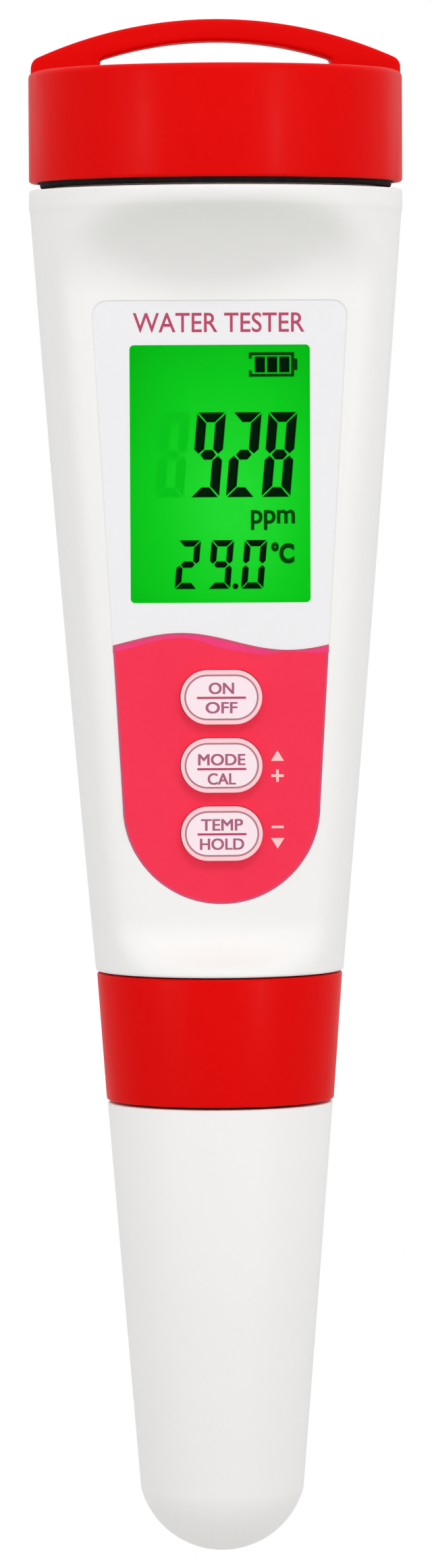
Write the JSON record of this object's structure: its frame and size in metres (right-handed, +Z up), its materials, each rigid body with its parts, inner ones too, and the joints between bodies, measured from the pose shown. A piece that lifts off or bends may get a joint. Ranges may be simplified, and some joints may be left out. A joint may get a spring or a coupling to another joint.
{
  "type": "digital water tester",
  "caption": "Pen-type digital water tester: tapered housing with sunk display and keys, screw cap with lanyard loop, threaded collar, replaceable electrode and push-on sensor cap.",
  "frame": {"origin": "crown of the lanyard loop's opening, on the long axis, where the tester hangs", "axes": "+Z up along the long axis, with the sensor cap's tip down; the display faces -Y; +X is to the right seen from the front"},
  "size_m": [0.0438, 0.0438, 0.1802],
  "materials": {
    "white_shell": "satin, fine moulded texture",
    "red_plastic": "satin",
    "label_film": "printed film, satin",
    "key_plastic": "soft touch",
    "clear_lens": "clear",
    "lcd_glass": "lit green display",
    "light_guide": "translucent",
    "black_plastic": "matte",
    "black_rubber": "matte",
    "circuit_board": "satin",
    "steel": "brushed",
    "nickel_contact": "plated",
    "gold_contact": "plated",
    "platinum": "polished",
    "cell_jacket": "plain wrapper",
    "ceramic": "porous, matte",
    "electrode_glass": "clear",
    "sponge": "open-cell foam",
    "red_wire": "satin",
    "black_wire": "satin"
  },
  "bodies": {
    "housing": {"housing_shell": "white_shell", "front_label": "label_film", "lcd_window": "clear_lens", "lcd_glass": "lcd_glass", "backlight_panel": "light_guide", "zebra_strip": "black_rubber", "lcd_bezel": "black_plastic", "main_board": "circuit_board", "board_screw_1": "steel", "board_screw_2": "steel", "board_screw_3": "steel", "board_screw_4": "steel", "controller_chip": "black_plastic", "amplifier_chip": "black_plastic", "tact_switch_on_off": "steel", "tact_switch_mode_cal": "steel", "tact_switch_temp_hold": "steel", "keypad_retainer": "black_rubber", "battery_holder": "black_plastic", "battery_cell_1": "cell_jacket", "battery_cell_2": "cell_jacket", "negative_spring": "steel", "positive_contact": "nickel_contact", "battery_lead_red": "red_wire", "battery_lead_black": "black_wire", "probe_socket": "black_plastic", "socket_pin_1": "gold_contact", "socket_pin_2": "gold_contact", "socket_pin_3": "gold_contact", "socket_pin_4": "gold_contact", "probe_ribbon": "circuit_board", "cap_seal": "black_rubber"},
    "cap_insert": {"contact_carrier": "black_plastic", "bridge_plate": "nickel_contact"},
    "screw_cap": {"top_cap": "red_plastic", "carrier_screw": "steel"},
    "electrode": {"electrode_body": "black_plastic", "electrode_seal": "black_rubber", "cap_ring_seal": "black_rubber", "contact_board": "circuit_board", "electrode_guard": "black_plastic", "orp_glass_stem": "electrode_glass", "platinum_band": "platinum", "hydrogen_electrode": "platinum", "temperature_pin": "steel", "reference_junction": "ceramic"},
    "collar": {"locking_collar": "red_plastic"},
    "storage_cap": {"sensor_cap": "white_shell", "storage_sponge": "sponge"},
    "on_off_key": {"button_on_off": "key_plastic", "switch_plunger_on_off": "black_plastic"},
    "mode_cal_key": {"button_mode_cal": "key_plastic", "switch_plunger_mode_cal": "black_plastic"},
    "temp_hold_key": {"button_temp_hold": "key_plastic", "switch_plunger_temp_hold": "black_plastic"}
  },
  "joints": [
    {"name": "cap_lift", "type": "slide", "parent": "housing", "child": "cap_insert", "axis": [0, 0, 1], "range_m": [0, 0.01]},
    {"name": "cap_turn", "type": "hinge", "parent": "cap_insert", "child": "screw_cap", "pos_m": [0, 0, 0], "axis": [0, 0, 1], "range_deg": [0, 900]},
    {"name": "electrode_drop", "type": "slide", "parent": "housing", "child": "electrode", "axis": [0, 0, -1], "range_m": [0, 0.0104]},
    {"name": "collar_turn", "type": "hinge", "parent": "electrode", "child": "collar", "pos_m": [0, 0, 0], "axis": [0, 0, -1], "range_deg": [0, 936]},
    {"name": "storage_cap_pull", "type": "slide", "parent": "electrode", "child": "storage_cap", "axis": [0, 0, -1], "range_m": [0, 0.045]},
    {"name": "on_off_press", "type": "slide", "parent": "housing", "child": "on_off_key", "axis": [0, 0.9996, 0.0286], "range_m": [0, 0.0006], "stiffness_N_per_m": 400, "springref_m": -0.0005},
    {"name": "mode_cal_press", "type": "slide", "parent": "housing", "child": "mode_cal_key", "axis": [0, 0.9996, 0.0286], "range_m": [0, 0.0006], "stiffness_N_per_m": 400, "springref_m": -0.0005},
    {"name": "temp_hold_press", "type": "slide", "parent": "housing", "child": "temp_hold_key", "axis": [0, 0.9996, 0.0286], "range_m": [0, 0.0006], "stiffness_N_per_m": 400, "springref_m": -0.0005}
  ],
  "couplings": [
    {"joint": "cap_turn", "follows": "cap_lift", "rad_per_m": 1570.8},
    {"joint": "collar_turn", "follows": "electrode_drop", "rad_per_m": 1570.8}
  ]
}
